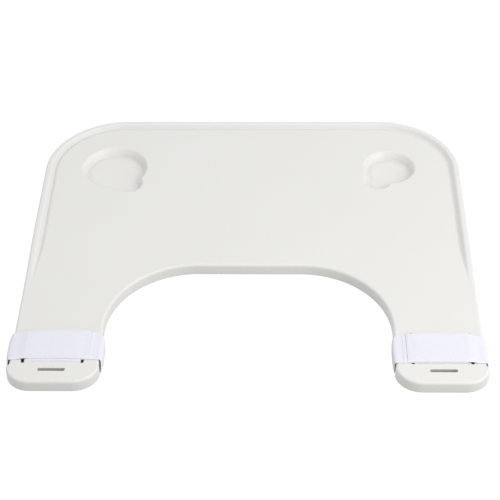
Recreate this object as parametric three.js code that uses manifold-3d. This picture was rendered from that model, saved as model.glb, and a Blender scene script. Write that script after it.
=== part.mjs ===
// U-shaped lap tray with two hook-and-loop straps. Millimetres, +Z up.
// X runs across the user, +Y away from the user, whose body stands in the open front of the U.
// The origin is on the surface that the tray lies on, under the middle of the whole object.
import * as THREE from 'three';
import { mergeVertices } from 'three/addons/utils/BufferGeometryUtils.js';
import Module from 'manifold-3d';

const wasm = await Module();
wasm.setup();

// ---------- driving dimensions ----------

// Board: the outline
const BOARD_WIDTH = 601.5;
const BOARD_DEPTH = 541.5;
const BACK_CORNER_RADIUS = 114;
const ARM_WIDTH = 113.75;
const OUTER_TIP_RADIUS = 29.5;
const INNER_TIP_RADIUS = 33;
const SHOULDER_INSET = 33;
const SHOULDER_LENGTH = 7;
const OUTER_SHOULDER = 3.3;
const INNER_SHOULDER = 1.7;
const CUTOUT_DEPTH = 218.5;
const CUTOUT_RADIUS = 118;

// Board: the section
const BOARD_HEIGHT = 17;
const SKIN = 3;
const SKIRT = 3;
const EDGE_RADIUS = 3.6;
const RIM_HEIGHT = 4;
const RIM_CREST_WIDTH = 6.5;
const RIM_SLOPE_WIDTH = 7.2;
const GUTTER_DEPTH = 1.5;
const GUTTER_WIDTH = 4.2;
const RIM_FADE_START = 275;
const RIM_FADE_END = 362;
const RIB = 2;
const WIDEST_RIB_PITCH = 61;

// Cup wells: each is a round dish with a smaller round lobe that holds a handle. A tight notch
// joins the two on one side and a long sweep on the other.
const WELL_DEPTH = 11;
const WELL_WALL_ANGLE = 60;
const WELL_TOP_RADIUS = 3;
const WELL_FLOOR_RADIUS = 1.2;
const WELL_NOTCH_RADIUS = 4.2;
const WELL_SWEEP_RADIUS = 110;
const LEFT_WELL = { x: -200, back: 109, radius: 48.5, lobeX: 23, lobeY: -36, lobeRadius: 21.4 };
const RIGHT_WELL = { x: 200, back: 107.7, radius: 38.7, lobeX: -18, lobeY: -31.3, lobeRadius: 21 };

// Slots in the arms, placed from the arm tips and the arm sides
const STRAP_SLOT_INSET = 61;
const OUTER_SLOT_SIDE_INSET = 17.25;
const INNER_SLOT_SIDE_INSET = 21.6;
const STRAP_SLOT_WIDTH = 4.6;
const STRAP_SLOT_END_PLAY = 2.5;
const TIP_SLOT_INSET = 22.1;
const TIP_SLOT_LENGTH = 34.8;
const TIP_SLOT_WIDTH = 4.8;
const SLOT_WALL = 2;

// Straps: 50 mm webbing, threaded up one slot and down the other, closed over the arm
const WEBBING_WIDTH = 50;
const WEBBING = 1.1;
const PATCH = 0.5;
const PATCH_INSET = 1;
const CLEARANCE = 0.2;
const OUTER_BULGE = 4.8;
const LEFT_INNER_BULGE = 5;
const RIGHT_INNER_BULGE = 3.6;
const TAIL_END_INSET = 5.4;
const FLAP_END_INSET = 14.5;
const LOOP_PATCH_END_INSET = 9.5;
const HINGE_INSET = 3;
const HINGE_GAP = 0.4;
const LEFT_FLAP_SHIFT = 3;
const RIGHT_FLAP_SHIFT = -2;
const STRAP_RELIEF_MARGIN = 5;

// Smoothness
const CORNER_STEPS = 10;
const TIP_STEPS = 5;
const FILLET_STEPS = 3;
const RIM_STEPS = 3;
const GUTTER_STEPS = 2;
const FADE_STEPS = 5;
const SHOULDER_STEPS = 3;
const WELL_ARC_STEP = THREE.MathUtils.degToRad(12);
const BEND_STEPS = 5;
const MERGE_DISTANCE = 1e-4;

// ---------- derived places ----------

const backY = BOARD_DEPTH / 2;
const armX = BOARD_WIDTH / 2 - ARM_WIDTH / 2;
const tipY = backY - BOARD_DEPTH;
const slotY = tipY + STRAP_SLOT_INSET;
const tipSlotY = tipY + TIP_SLOT_INSET;
const armHalf = ARM_WIDTH / 2;
const cutHalf = BOARD_WIDTH / 2 - ARM_WIDTH;
const outerSlotU = armHalf - OUTER_SLOT_SIDE_INSET;
const innerSlotU = INNER_SLOT_SIDE_INSET - armHalf;
const tipSlotU = (outerSlotU + innerSlotU) / 2;
const slotLength = WEBBING_WIDTH + 2 * STRAP_SLOT_END_PLAY;
const strapRelief = WEBBING + 3 * CLEARANCE;

// Cutting solids run well past the board's faces.
const cutFrom = -BOARD_HEIGHT;
const cutTo = 2 * BOARD_HEIGHT;

// ---------- materials ----------

const whitePlastic = new THREE.MeshStandardMaterial({ color: 0xe9e9e6, roughness: 0.42 });
const webbingFabric = new THREE.MeshStandardMaterial({ color: 0xe9e9f1, roughness: 0.85 });
const hookFabric = new THREE.MeshStandardMaterial({ color: 0xe3e3ea, roughness: 0.7 });
const loopFabric = new THREE.MeshStandardMaterial({ color: 0xe6e6ee, roughness: 0.95 });

// ---------- solids ----------

// A closed solid through a stack of loops that hold the same number of points, from bottom to top,
// each loop anticlockwise seen from above and the first and last ones flat.
function loft(loops) {
  const count = loops[0].length;
  const positions = loops.flat().flatMap((p) => [p.x, p.y, p.z]);
  const faces = [];
  for (let row = 0; row < loops.length - 1; row++) {
    for (let i = 0; i < count; i++) {
      const next = (i + 1) % count;
      const [a, b] = [row * count + i, row * count + next];
      faces.push(a, b, b + count, a, b + count, a + count);
    }
  }
  const flat = (loop) => loop.map((p) => new THREE.Vector2(p.x, p.y));
  const cap = (loop) => THREE.ShapeUtils.triangulateShape(flat(loop), []);
  const top = (loops.length - 1) * count;
  for (const [a, b, c] of cap(loops[0])) faces.push(a, c, b);
  for (const [a, b, c] of cap(loops.at(-1))) faces.push(top + a, top + b, top + c);
  const geometry = new THREE.BufferGeometry();
  geometry.setAttribute('position', new THREE.Float32BufferAttribute(positions, 3));
  geometry.setIndex(faces);
  return geometry;
}

// A flat outline raised from one height to another.
function slab(points, bottom, top) {
  const at = (z) => points.map((p) => new THREE.Vector3(p.x, p.y, z));
  return loft([at(bottom), at(top)]);
}

function box(x0, x1, y0, y1, z0, z1) {
  const corners = [[x0, y0], [x1, y0], [x1, y1], [x0, y1]];
  return slab(corners.map(([x, y]) => new THREE.Vector2(x, y)), z0, z1);
}

function toManifold(geometry) {
  const plain = geometry.clone();
  plain.deleteAttribute('normal');
  plain.deleteAttribute('uv');
  const merged = mergeVertices(plain, MERGE_DISTANCE);
  return new wasm.Manifold(new wasm.Mesh({
    numProp: 3,
    vertProperties: new Float32Array(merged.attributes.position.array),
    triVerts: new Uint32Array(merged.index.array),
  }));
}

function toGeometry(solid) {
  const { vertProperties, triVerts } = solid.getMesh();
  const geometry = new THREE.BufferGeometry();
  geometry.setAttribute('position', new THREE.BufferAttribute(new Float32Array(vertProperties), 3));
  geometry.setIndex(new THREE.BufferAttribute(new Uint32Array(triVerts), 1));
  geometry.computeVertexNormals();
  return geometry;
}

const joined = (geometries) => geometries.map(toManifold).reduce((all, one) => all.add(one));

// ---------- board outline ----------

// Points around a right-angled outline with rounded corners, anticlockwise, each with the unit
// normal that points into the board. Moving every point along its normal insets the outline.
function roundedOutline(corners) {
  const points = [];
  corners.forEach((corner, i) => {
    const before = corners.at(i - 1);
    const after = corners[(i + 1) % corners.length];
    const along = new THREE.Vector2(corner.x - before.x, corner.y - before.y).normalize();
    const away = new THREE.Vector2(after.x - corner.x, after.y - corner.y).normalize();
    const inFirst = new THREE.Vector2(-along.y, along.x);
    const inLast = new THREE.Vector2(-away.y, away.x);
    const side = Math.sign(along.cross(away));
    const centre = inFirst.clone().add(inLast).multiplyScalar(side * corner.radius).add(corner);
    for (let step = 0; step <= corner.steps; step++) {
      const turn = (step / corner.steps) * (Math.PI / 2);
      const normal = inFirst.clone().multiplyScalar(Math.cos(turn));
      normal.addScaledVector(inLast, Math.sin(turn));
      const point = centre.clone().addScaledVector(normal, -side * corner.radius);
      points.push({ x: point.x, y: point.y, nx: normal.x, ny: normal.y });
    }
    for (const y of corner.sideStops ?? []) {
      points.push({ x: after.x, y, nx: inLast.x, ny: inLast.y });
    }
  });
  return points;
}

// The arm tips are a little wider than the arms: a short shoulder keeps the strap from slipping off.
function widenTip(point) {
  const inset = point.y - tipY;
  const share = 1 - THREE.MathUtils.smoothstep(inset, SHOULDER_INSET - SHOULDER_LENGTH, SHOULDER_INSET);
  const u = Math.abs(point.x) - armX;
  const widening = (share * (u > 0 ? OUTER_SHOULDER : INNER_SHOULDER) * u) / armHalf;
  return { ...point, x: point.x + Math.sign(point.x) * widening };
}

// The U-shaped outline. The straight sides get extra points where the rim fades and at the shoulders.
function boardOutline() {
  const halfWidth = BOARD_WIDTH / 2;
  const fade = Array.from({ length: FADE_STEPS + 1 }, (_, i) => (
    backY - THREE.MathUtils.lerp(RIM_FADE_START, RIM_FADE_END, i / FADE_STEPS)));
  const shoulder = Array.from({ length: SHOULDER_STEPS + 1 }, (_, i) => (
    tipY + SHOULDER_INSET - (SHOULDER_LENGTH * i) / SHOULDER_STEPS));
  const straight = (radius) => shoulder.filter((y) => y > tipY + radius);
  const back = { radius: BACK_CORNER_RADIUS, steps: CORNER_STEPS };
  const outerTip = { radius: OUTER_TIP_RADIUS, steps: TIP_STEPS };
  const innerTip = { radius: INNER_TIP_RADIUS, steps: TIP_STEPS };
  const notch = { radius: CUTOUT_RADIUS, steps: CORNER_STEPS };
  return roundedOutline([
    { x: halfWidth, y: backY, ...back },
    { x: -halfWidth, y: backY, ...back, sideStops: [...fade, ...straight(OUTER_TIP_RADIUS)] },
    { x: -halfWidth, y: tipY, ...outerTip },
    { x: -cutHalf, y: tipY, ...innerTip, sideStops: straight(INNER_TIP_RADIUS).toReversed() },
    { x: -cutHalf, y: tipY + CUTOUT_DEPTH, ...notch },
    { x: cutHalf, y: tipY + CUTOUT_DEPTH, ...notch, sideStops: straight(INNER_TIP_RADIUS) },
    { x: cutHalf, y: tipY, ...innerTip },
    {
      x: halfWidth, y: tipY, ...outerTip,
      sideStops: [...fade, ...straight(OUTER_TIP_RADIUS)].toReversed(),
    },
  ]).map(widenTip);
}

// How much of its full height the rim has at a point of the outline: all of it along the back and
// the back corners, fading out along the sides, and none on the arms and round the cut-out.
function rimShare(point) {
  const onSide = Math.abs(point.x) > BOARD_WIDTH / 2 - MERGE_DISTANCE;
  const onBack = point.y >= backY - BACK_CORNER_RADIUS;
  if (!onSide && !onBack) return 0;
  return 1 - THREE.MathUtils.smoothstep(backY - point.y, RIM_FADE_START, RIM_FADE_END);
}

const insetLoop = (outline, inset, height) => outline.map(
  (p) => new THREE.Vector3(p.x + p.nx * inset, p.y + p.ny * inset, height(p)));

// The board's outer form: upright side, rounded top edge, rim crest, the rim's inner slope, and a
// shallow gutter at the slope's foot that rises gently to the top face.
function boardForm(outline) {
  const crest = (p) => BOARD_HEIGHT + RIM_HEIGHT * rimShare(p);
  const loops = [
    insetLoop(outline, 0, () => 0),
    insetLoop(outline, 0, (p) => crest(p) - EDGE_RADIUS),
  ];
  for (let step = 1; step <= FILLET_STEPS; step++) {
    const turn = (step / FILLET_STEPS) * (Math.PI / 2);
    const drop = EDGE_RADIUS * (1 - Math.sin(turn));
    loops.push(insetLoop(outline, EDGE_RADIUS * (1 - Math.cos(turn)), (p) => crest(p) - drop));
  }
  for (let step = 0; step <= RIM_STEPS; step++) {
    const share = step / RIM_STEPS;
    const left = RIM_HEIGHT - (RIM_HEIGHT + GUTTER_DEPTH) * THREE.MathUtils.smoothstep(share, 0, 1);
    const inset = RIM_CREST_WIDTH + RIM_SLOPE_WIDTH * share;
    loops.push(insetLoop(outline, inset, (p) => BOARD_HEIGHT + rimShare(p) * left));
  }
  for (let step = 1; step <= GUTTER_STEPS; step++) {
    const share = step / GUTTER_STEPS;
    const inset = RIM_CREST_WIDTH + RIM_SLOPE_WIDTH + GUTTER_WIDTH * share;
    const depth = GUTTER_DEPTH * (1 - share) ** 2;
    loops.push(insetLoop(outline, inset, (p) => BOARD_HEIGHT - rimShare(p) * depth));
  }
  return loft(loops);
}

// ---------- cup wells ----------

// A dish circle and a lobe circle joined by a notch arc and a sweep arc that touch both from
// outside: the same kind of outline as the board's, with normals that point into the well.
function wellOutline(well) {
  const dish = new THREE.Vector2(well.x, backY - well.back);
  const lobe = new THREE.Vector2(well.lobeX, well.lobeY).add(dish);
  const apart = lobe.clone().sub(dish);
  const distance = apart.length();
  const heading = apart.angle();
  const dishTurn = (radius) => {
    const toDish = well.radius + radius;
    const toLobe = well.lobeRadius + radius;
    return Math.acos((toDish ** 2 + distance ** 2 - toLobe ** 2) / (2 * toDish * distance));
  };
  const joinCentre = (radius, turn) => new THREE.Vector2(well.radius + radius, 0)
    .rotateAround(new THREE.Vector2(), turn).add(dish);
  const arc = (centre, radius, from, to, inwardSign) => {
    const steps = Math.max(2, Math.ceil(Math.abs(to - from) / WELL_ARC_STEP));
    return Array.from({ length: steps }, (_, i) => {
      const angle = from + ((to - from) * (i + 0.5)) / steps;
      const out = new THREE.Vector2(Math.cos(angle), Math.sin(angle));
      const point = out.clone().multiplyScalar(radius).add(centre);
      return { x: point.x, y: point.y, nx: inwardSign * out.x, ny: inwardSign * out.y };
    });
  };
  const joinArc = (centre, radius, fromPlace, toPlace) => {
    const from = fromPlace.clone().sub(centre).angle();
    const to = toPlace.clone().sub(centre).angle();
    return arc(centre, radius, from, to > from ? to - 2 * Math.PI : to, 1);
  };
  const notchTurn = dishTurn(WELL_NOTCH_RADIUS);
  const sweepTurn = dishTurn(WELL_SWEEP_RADIUS);
  const notch = joinCentre(WELL_NOTCH_RADIUS, heading + notchTurn);
  const sweep = joinCentre(WELL_SWEEP_RADIUS, heading - sweepTurn);
  const lobeFrom = sweep.clone().sub(lobe).angle();
  const lobeAngle = notch.clone().sub(lobe).angle();
  const lobeTo = lobeAngle < lobeFrom ? lobeAngle + 2 * Math.PI : lobeAngle;
  return [
    ...arc(dish, well.radius, heading + notchTurn, heading + 2 * Math.PI - sweepTurn, -1),
    ...joinArc(sweep, WELL_SWEEP_RADIUS, dish, lobe),
    ...arc(lobe, well.lobeRadius, lobeFrom, lobeTo, -1),
    ...joinArc(notch, WELL_NOTCH_RADIUS, lobe, dish),
  ];
}

// The well's section as pairs of inset and depth: rounded lip, sloped wall, rounded foot.
function wellSection() {
  const angle = THREE.MathUtils.degToRad(WELL_WALL_ANGLE);
  const rows = [];
  for (let step = 1; step <= FILLET_STEPS; step++) {
    const turn = (angle * step) / FILLET_STEPS;
    rows.push([WELL_TOP_RADIUS * Math.sin(turn), WELL_TOP_RADIUS * (1 - Math.cos(turn))]);
  }
  const [lipInset, lipDepth] = rows.at(-1);
  const footDepth = WELL_FLOOR_RADIUS * (1 - Math.cos(angle));
  const wallDepth = WELL_DEPTH - lipDepth - footDepth;
  const footInset = lipInset + wallDepth / Math.tan(angle);
  for (let step = 0; step < FILLET_STEPS; step++) {
    const turn = angle * (1 - step / FILLET_STEPS);
    const inset = footInset + WELL_FLOOR_RADIUS * (Math.sin(angle) - Math.sin(turn));
    rows.push([inset, WELL_DEPTH - WELL_FLOOR_RADIUS * (1 - Math.cos(turn))]);
  }
  rows.push([footInset + WELL_FLOOR_RADIUS * Math.sin(angle), WELL_DEPTH]);
  return rows;
}

// The space inside a well, open above the board, and the same grown by the skin for its underside.
function wellSpace(well, grow = 0) {
  const outline = wellOutline(well);
  const loops = wellSection().reverse().map(([inset, depth]) => (
    insetLoop(outline, inset - grow, () => BOARD_HEIGHT - grow - depth)));
  loops.push(insetLoop(outline, -grow, () => BOARD_HEIGHT + RIM_HEIGHT));
  return loft(loops);
}

// ---------- slots ----------

// A slot with half-round ends, along Y when its length is along Y and along X otherwise.
function slotSolid(x, y, alongX, length, width, bottom, top) {
  const shape = new THREE.Shape();
  const half = (length - width) / 2;
  shape.absarc(half, 0, width / 2, -Math.PI / 2, Math.PI / 2);
  shape.absarc(-half, 0, width / 2, Math.PI / 2, (3 * Math.PI) / 2);
  const points = shape.getPoints(BEND_STEPS).slice(0, -1);
  const turn = alongX ? 0 : Math.PI / 2;
  const centre = new THREE.Vector2(x, y);
  const placed = points.map((p) => p.rotateAround(new THREE.Vector2(), turn).add(centre));
  return slab(placed, bottom, top);
}

// Every slot of the board, grown all round by a wall thickness when asked.
function slots(grow, bottom, top) {
  const strapSlot = [slotLength + 2 * grow, STRAP_SLOT_WIDTH + 2 * grow, bottom, top];
  const tipSlot = [TIP_SLOT_LENGTH + 2 * grow, TIP_SLOT_WIDTH + 2 * grow, bottom, top];
  const solids = [];
  for (const side of [-1, 1]) {
    for (const u of [innerSlotU, outerSlotU]) {
      solids.push(slotSolid(side * (armX + u), slotY, false, ...strapSlot));
    }
    solids.push(slotSolid(side * (armX + tipSlotU), tipSlotY, true, ...tipSlot));
  }
  return joined(solids);
}

// ---------- board ----------

// Ribs across and along, as deep as the skirt. One long rib runs down the middle of each arm.
function ribs() {
  const solids = [];
  const pitchX = armX / Math.ceil(armX / WIDEST_RIB_PITCH);
  const columns = Math.floor((BOARD_WIDTH / 2 - SKIRT) / pitchX);
  for (let i = -columns; i <= columns; i++) {
    const x = i * pitchX;
    solids.push(box(x - RIB / 2, x + RIB / 2, -backY, backY, 0, BOARD_HEIGHT));
  }
  const rows = Math.ceil(BOARD_DEPTH / WIDEST_RIB_PITCH);
  for (let i = 1; i < rows; i++) {
    const y = -backY + (i * BOARD_DEPTH) / rows;
    solids.push(box(-BOARD_WIDTH / 2, BOARD_WIDTH / 2, y - RIB / 2, y + RIB / 2, 0, BOARD_HEIGHT));
  }
  return joined(solids);
}

// The shallow relief under each arm that the strap lies in, from each strap slot out past the side.
function strapReliefs() {
  const solids = [];
  const length = slotLength + STRAP_RELIEF_MARGIN;
  const bulge = Math.max(OUTER_BULGE, LEFT_INNER_BULGE, RIGHT_INNER_BULGE);
  for (const side of [-1, 1]) {
    for (const [end, slotU] of [[-1, innerSlotU], [1, outerSlotU]]) {
      const slotX = side * (armX + slotU - (end * STRAP_SLOT_WIDTH) / 2);
      const sideX = side * (armX + end * (armHalf + bulge));
      const [x0, x1] = [Math.min(slotX, sideX), Math.max(slotX, sideX)];
      solids.push(box(x0, x1, slotY - length / 2, slotY + length / 2, cutFrom, strapRelief));
    }
  }
  return joined(solids);
}

function trayBoard() {
  const outline = boardOutline();
  const inner = insetLoop(outline, SKIRT, () => 0);
  const underside = toManifold(slab(inner, cutFrom, BOARD_HEIGHT - SKIN))
    .subtract(ribs())
    .subtract(joined([wellSpace(LEFT_WELL, SKIN), wellSpace(RIGHT_WELL, SKIN)]))
    .subtract(slots(SLOT_WALL, 0, BOARD_HEIGHT));
  const solid = toManifold(boardForm(outline))
    .subtract(underside)
    .subtract(joined([wellSpace(LEFT_WELL), wellSpace(RIGHT_WELL)]))
    .subtract(slots(0, cutFrom, cutTo))
    .subtract(strapReliefs());
  return toGeometry(solid);
}

// ---------- straps ----------

// A strap is drawn as its mid line seen from the front, in u, positive towards the arm's outer
// side and zero at the arm's middle, and z. A stack above the arm's top face is, in order: the
// bridge between the slots, the tail, the loop patch, the hook patch and the flap.
const bridgeZ = BOARD_HEIGHT + CLEARANCE + WEBBING / 2;
const tailZ = bridgeZ + WEBBING + CLEARANCE;
const loopPatchZ = tailZ + WEBBING / 2 + CLEARANCE + PATCH / 2;
const hookPatchZ = loopPatchZ + PATCH + CLEARANCE;
const flapZ = hookPatchZ + PATCH / 2 + CLEARANCE + WEBBING / 2;
const underZ = CLEARANCE + WEBBING / 2;
const edgeTopZ = bridgeZ;
const hingeU = armHalf - HINGE_INSET;
const tailEndU = outerSlotU - TAIL_END_INSET;
const flapEndU = FLAP_END_INSET - armHalf;

const bend = (from, corner, to) => (
  new THREE.QuadraticBezierCurve(from, corner, to).getPoints(BEND_STEPS));

// A mid line through corners, each inner one with a reach that a quadratic bend cuts off it.
function bentLine(corners) {
  const line = [new THREE.Vector2(...corners[0])];
  for (let i = 1; i < corners.length - 1; i++) {
    const [u, z, reach] = corners[i];
    const corner = new THREE.Vector2(u, z);
    const toward = ([nextU, nextZ]) => (
      new THREE.Vector2(nextU, nextZ).sub(corner).setLength(reach).add(corner));
    line.push(...bend(toward(corners[i - 1]), corner, toward(corners[i + 1])));
  }
  line.push(new THREE.Vector2(...corners.at(-1)));
  return line;
}

// The stretch that stands off the arm's side, from the top of the arm round to its underside.
function sideBulge(sign, bulge) {
  const sideU = sign * (armHalf + bulge - WEBBING / 2);
  const middle = new THREE.Vector2(sideU, (edgeTopZ + underZ) / 2);
  const top = new THREE.Vector2(sign * hingeU, edgeTopZ);
  const under = new THREE.Vector2(sign * (armHalf + WEBBING), underZ);
  return [
    ...bend(top, new THREE.Vector2(sideU, edgeTopZ), middle),
    ...bend(middle, new THREE.Vector2(sideU, underZ), under).slice(1),
  ];
}

// A ribbon of even thickness along a mid line, as wide as asked along Y.
function ribbon(line, thickness, width) {
  const normals = line.map((_, i) => {
    const a = line[Math.max(i - 1, 0)];
    const b = line[Math.min(i + 1, line.length - 1)];
    return new THREE.Vector2(a.y - b.y, b.x - a.x).normalize();
  });
  const offset = (sign) => line.map((p, i) => (
    p.clone().addScaledVector(normals[i], (sign * thickness) / 2)));
  const shape = new THREE.Shape([...offset(1), ...offset(-1).reverse()]);
  const geometry = new THREE.ExtrudeGeometry(shape, { depth: width, bevelEnabled: false, steps: 1 });
  return geometry.translate(0, 0, -width / 2).rotateX(Math.PI / 2);
}

// The webbing that stays on the arm: tail, inner side, inner slot, bridge, outer slot, outer side.
function loopLine(innerBulge) {
  const tail = [[tailEndU, tailZ], [innerSlotU, tailZ, WEBBING], [-hingeU, edgeTopZ]];
  const under = [
    [-armHalf - WEBBING, underZ],
    [innerSlotU, underZ, WEBBING],
    [innerSlotU, bridgeZ, WEBBING],
    [outerSlotU, bridgeZ, WEBBING],
    [outerSlotU, underZ, WEBBING],
    [armHalf + WEBBING, underZ],
  ];
  return [
    ...bentLine(tail).slice(0, -1),
    ...sideBulge(-1, innerBulge),
    ...bentLine(under).slice(1, -1),
    ...sideBulge(1, OUTER_BULGE).reverse(),
  ];
}

function flapLine() {
  const start = [hingeU - HINGE_GAP, edgeTopZ];
  return bentLine([start, [outerSlotU + WEBBING, flapZ, WEBBING], [flapEndU, flapZ]]);
}

// The loop patch lies on the tail and follows it down its slope past the flap's end.
function loopPatchLine() {
  const endU = -armHalf + LOOP_PATCH_END_INSET;
  const share = (innerSlotU - endU) / (innerSlotU + hingeU);
  const endZ = THREE.MathUtils.lerp(loopPatchZ, loopPatchZ - (tailZ - edgeTopZ), share);
  const start = [tailEndU - PATCH_INSET, loopPatchZ];
  return bentLine([start, [innerSlotU, loopPatchZ, WEBBING], [endU, endZ]]);
}

function hookPatchLine() {
  return [tailEndU, flapEndU + PATCH_INSET].map((u) => new THREE.Vector2(u, hookPatchZ));
}

// ---------- assembly ----------

const tray = new THREE.Group();

function addPiece(parent, name, geometry, material) {
  const mesh = new THREE.Mesh(geometry, material);
  mesh.name = name;
  parent.add(mesh);
}

addPiece(tray, 'tray_board', trayBoard(), whitePlastic);

const straps = [
  ['left', -1, LEFT_FLAP_SHIFT, LEFT_INNER_BULGE],
  ['right', 1, RIGHT_FLAP_SHIFT, RIGHT_INNER_BULGE],
];
for (const [name, side, flapShift, innerBulge] of straps) {
  const placed = (line, thickness, width, shift) => {
    const sided = line.map((p) => new THREE.Vector2(side * p.x, p.y));
    return ribbon(sided, thickness, width).translate(side * armX, slotY + shift, 0);
  };
  const webbing = (line, shift) => placed(line, WEBBING, WEBBING_WIDTH, shift);
  const patch = (line, shift) => placed(line, PATCH, WEBBING_WIDTH - 2 * PATCH_INSET, shift);
  addPiece(tray, `${name}_strap_loop`, webbing(loopLine(innerBulge), 0), webbingFabric);
  addPiece(tray, `${name}_loop_patch`, patch(loopPatchLine(), 0), loopFabric);
  addPiece(tray, `${name}_strap_flap`, webbing(flapLine(), flapShift), webbingFabric);
  addPiece(tray, `${name}_hook_patch`, patch(hookPatchLine(), flapShift), hookFabric);
}

export default tray;
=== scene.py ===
import math

import bmesh
import bpy
import numpy as np
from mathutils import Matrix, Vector


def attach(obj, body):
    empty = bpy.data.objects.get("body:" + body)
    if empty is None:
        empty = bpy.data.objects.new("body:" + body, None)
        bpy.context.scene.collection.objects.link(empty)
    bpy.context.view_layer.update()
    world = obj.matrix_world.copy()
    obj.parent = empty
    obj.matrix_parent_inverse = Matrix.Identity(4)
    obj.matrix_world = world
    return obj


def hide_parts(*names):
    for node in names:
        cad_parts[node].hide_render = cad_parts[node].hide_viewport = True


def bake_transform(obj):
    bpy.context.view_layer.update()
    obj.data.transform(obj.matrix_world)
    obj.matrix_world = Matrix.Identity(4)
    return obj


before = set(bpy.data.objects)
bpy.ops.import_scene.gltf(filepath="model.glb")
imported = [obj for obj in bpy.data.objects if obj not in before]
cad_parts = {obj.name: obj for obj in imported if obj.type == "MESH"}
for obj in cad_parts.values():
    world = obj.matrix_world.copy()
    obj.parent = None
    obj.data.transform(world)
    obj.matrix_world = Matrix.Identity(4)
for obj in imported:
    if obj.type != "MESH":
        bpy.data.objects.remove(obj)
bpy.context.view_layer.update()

# ---------------------------------------------------------------------------
# Studio: a camera beyond the arm tips that looks down on the tray, a pale sweep under it, a large
# soft lamp at the right front, a weaker one overhead and an even sky. The sweep looks white to
# the eye and still takes the tray's soft shadow.
# ---------------------------------------------------------------------------

scene = bpy.context.scene
scene.view_settings.view_transform = "Standard"

# Places and sizes here are in metres and turns in degrees. The lens is in millimetres.
CAMERA_PLACE = (0.04093, -1.54369, 1.35038)
CAMERA_TURN = (48.7965, 0.6762, 0.9423)
CAMERA_LENS = 106.66
CAMERA_SENSOR = 36.0
SKY_STRENGTH = 0.695
SKY_HEX = "#F6F7FA"
KEY_PLACE = (1.76, -1.02, 1.27)
KEY_SIZE = 1.5
KEY_WATTS = 18.6
KEY_HEX = "#FFFDF8"
TOP_PLACE = (0.47, -0.17, 2.35)
TOP_SIZE = 1.5
TOP_WATTS = 11.4
WHITE_HEX = "#FFFFFF"
SWEEP_HALF = 6.0
SWEEP_HEX = "#C6C6C5"
SWEEP_GLOW = 0.9
SWEEP_WHITE = 1.1


def linear(hex_colour):
    """sRGB hex to linear RGBA: the piecewise sRGB curve on each channel."""
    srgb = np.array([int(hex_colour[i:i + 2], 16) for i in (1, 3, 5)]) / 255
    low = srgb / 12.92
    high = ((srgb + 0.055) / 1.055) ** 2.4
    return (*np.where(srgb <= 0.04045, low, high).tolist(), 1.0)


def add_node(tree, kind, links=(), **settings):
    """Adds one node. A setting is one of its own properties, or a socket's value by the socket's
    name or, as in in_1, by its number. Links are (socket, source)."""
    node = tree.nodes.new(kind)
    for key, value in settings.items():
        if hasattr(node, key):
            setattr(node, key, value)
        elif key.startswith("in_"):
            node.inputs[int(key[3:])].default_value = value
        else:
            node.inputs[key.replace("_", " ")].default_value = value
    for socket, source in links:
        tree.links.new(source, node.inputs[socket])
    return node


def new_material(name):
    """An empty node material and its tree."""
    material = bpy.data.materials.new(name)
    material.use_nodes = True
    material.node_tree.nodes.clear()
    return material, material.node_tree


def add_lamp(name, place, size, watts, hex_colour):
    """A square soft lamp that faces the middle of the tray."""
    data = bpy.data.lights.new(name, "AREA")
    data.size = size
    data.energy = watts
    data.color = linear(hex_colour)[:3]
    lamp = bpy.data.objects.new(name, data)
    lamp.location = place
    lamp.rotation_euler = Vector(place).to_track_quat("Z", "Y").to_euler()
    scene.collection.objects.link(lamp)


camera_data = bpy.data.cameras.new("camera")
camera_data.lens = CAMERA_LENS
camera_data.sensor_width = CAMERA_SENSOR
camera = bpy.data.objects.new("camera", camera_data)
camera.location = CAMERA_PLACE
camera.rotation_euler = np.radians(CAMERA_TURN).tolist()
scene.collection.objects.link(camera)
scene.camera = camera

add_lamp("key_lamp", KEY_PLACE, KEY_SIZE, KEY_WATTS, KEY_HEX)
add_lamp("top_lamp", TOP_PLACE, TOP_SIZE, TOP_WATTS, WHITE_HEX)


def seen_by_eye(tree):
    """1 for rays from the eye, straight or by way of a gloss or glass, and 0 for all others."""
    paths = add_node(tree, "ShaderNodeLightPath")
    direct = add_node(tree, "ShaderNodeMath",
                      [(0, paths.outputs["Is Camera Ray"]), (1, paths.outputs["Is Glossy Ray"])],
                      operation="MAXIMUM")
    any_way = add_node(tree, "ShaderNodeMath",
                       [(0, direct.outputs[0]), (1, paths.outputs["Is Transmission Ray"])],
                       operation="MAXIMUM")
    return any_way.outputs[0]


world = bpy.data.worlds.new("sky")
scene.world = world
world.use_nodes = True
sky = world.node_tree
sky.nodes.clear()
lit = add_node(sky, "ShaderNodeBackground", Color=linear(SKY_HEX), Strength=SKY_STRENGTH)
shown = add_node(sky, "ShaderNodeBackground", Color=linear(WHITE_HEX), Strength=1.0)
either = add_node(sky, "ShaderNodeMixShader",
                  [(0, seen_by_eye(sky)), (1, lit.outputs[0]), (2, shown.outputs[0])])
add_node(sky, "ShaderNodeOutputWorld", [("Surface", either.outputs[0])])


def sweep_paper():
    """Pale matt paper that glows a little to the eye, so that only the tray's shadow shows on it."""
    material, tree = new_material("sweep_paper")
    glow = add_node(tree, "ShaderNodeMath", [(0, seen_by_eye(tree))], operation="MULTIPLY",
                    in_1=SWEEP_GLOW)
    paper = add_node(tree, "ShaderNodeBsdfDiffuse", Color=linear(SWEEP_HEX))
    white = add_node(tree, "ShaderNodeEmission", Color=linear(WHITE_HEX), Strength=SWEEP_WHITE)
    mixed = add_node(tree, "ShaderNodeMixShader",
                     [(0, glow.outputs[0]), (1, paper.outputs[0]), (2, white.outputs[0])])
    add_node(tree, "ShaderNodeOutputMaterial", [("Surface", mixed.outputs[0])])
    return material


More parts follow.
